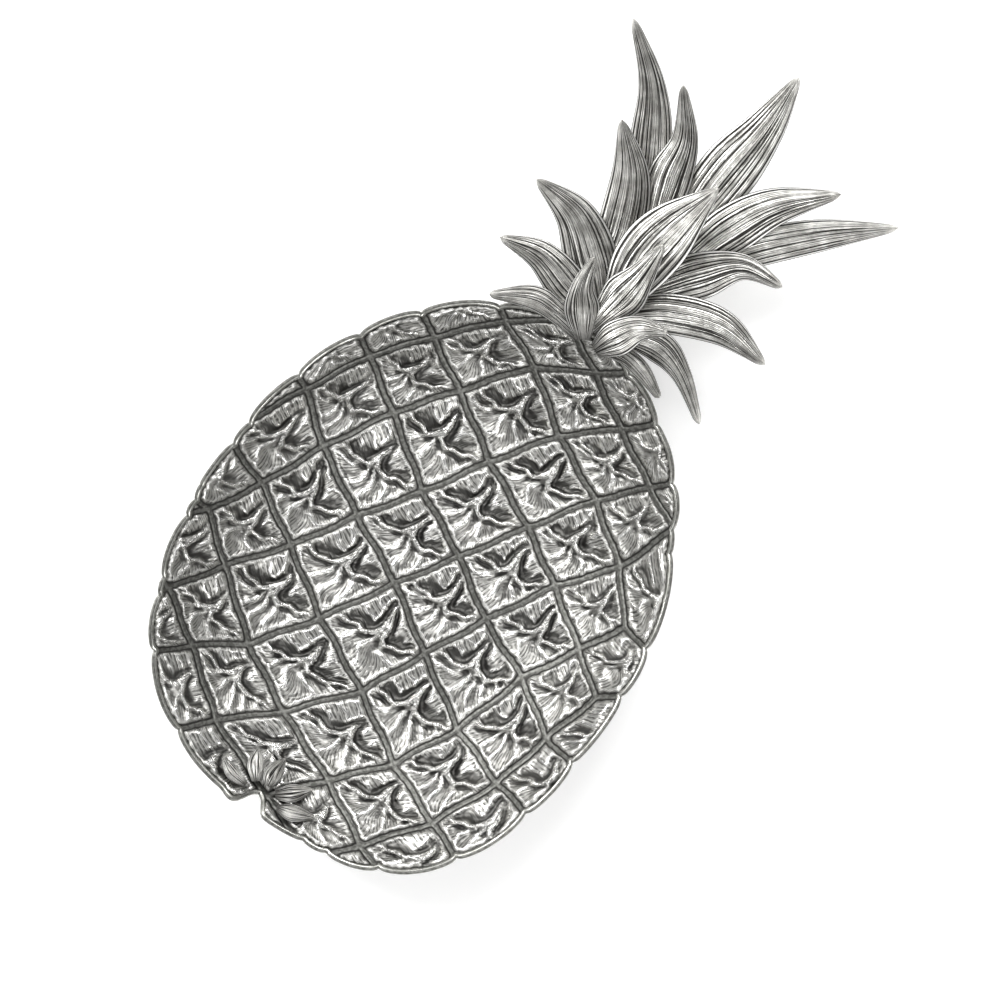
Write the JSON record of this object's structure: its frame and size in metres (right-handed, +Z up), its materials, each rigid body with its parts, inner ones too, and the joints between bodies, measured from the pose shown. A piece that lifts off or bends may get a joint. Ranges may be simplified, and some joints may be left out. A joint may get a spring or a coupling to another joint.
{
  "type": "pineapple-shaped dish",
  "caption": "Shallow silver serving dish shaped like a whole pineapple, with raised eyes inside, a scalloped rim and a crown of chased leaves.",
  "frame": {"origin": "middle of the flat spot on the underside that the dish rests on", "axes": "+Z up out of the dish, +Y along the body to the crown of leaves, +X to the right seen from above"},
  "size_m": [0.2075, 0.4019, 0.055],
  "materials": {
    "body_silver": "polished silver with oxidised recesses",
    "leaf_silver": "chased and oxidised silver"
  },
  "bodies": {
    "root": {"dish": "body_silver", "crown_seat": "body_silver", "crown_leaf_back_centre": "leaf_silver", "crown_leaf_back_left": "leaf_silver", "crown_leaf_back_right": "leaf_silver", "crown_leaf_inner_left": "leaf_silver", "crown_leaf_inner_right": "leaf_silver", "crown_leaf_high_left": "leaf_silver", "crown_leaf_high_right": "leaf_silver", "crown_leaf_middle_left": "leaf_silver", "crown_leaf_middle_right": "leaf_silver", "crown_leaf_low_left": "leaf_silver", "crown_leaf_low_right": "leaf_silver", "crown_leaf_rim_left": "leaf_silver", "crown_leaf_rim_right": "leaf_silver", "crown_leaf_front_tall": "leaf_silver", "crown_leaf_front_curl": "leaf_silver", "crown_leaf_front_left": "leaf_silver", "crown_leaf_front_right": "leaf_silver", "base_bract_far_left": "leaf_silver", "base_bract_left": "leaf_silver", "base_bract_centre": "leaf_silver", "base_bract_right": "leaf_silver", "base_bract_far_right": "leaf_silver"}
  },
  "joints": []
}
